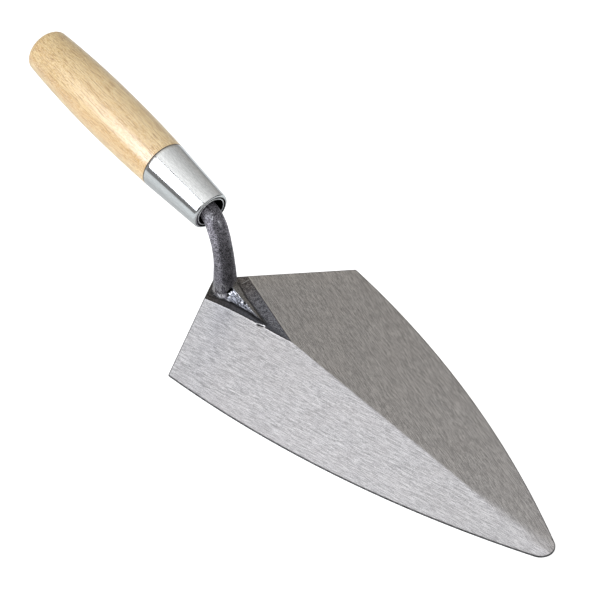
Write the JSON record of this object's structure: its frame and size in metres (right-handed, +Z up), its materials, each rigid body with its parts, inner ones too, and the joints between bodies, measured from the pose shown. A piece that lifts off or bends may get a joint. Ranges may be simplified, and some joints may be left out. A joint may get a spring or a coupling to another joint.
{
  "type": "brick trowel",
  "caption": "Brick trowel with a flat leaf-shaped steel blade, a bent forged shank, a conical plated ferrule and a turned wooden handle.",
  "frame": {"origin": "centre of the whole tool's box in plan, on the blade's flat underside", "axes": "+X towards the blade's tip, +Y to its left, +Z up from the blade to the handle"},
  "size_m": [0.3975, 0.1244, 0.0826],
  "materials": {
    "ground_steel": "ground, with fine lines beside each long edge, and dark forge scale left round the foot of the shank",
    "forged_steel": "dark forge scale, mottled and a little worn",
    "plated_steel": "satin bright plate",
    "lacquered_wood": "pale close-grained hardwood under clear lacquer, grain along the handle"
  },
  "bodies": {
    "root": {"blade": "ground_steel", "shank": "forged_steel", "ferrule": "plated_steel", "handle": "lacquered_wood"}
  },
  "joints": []
}
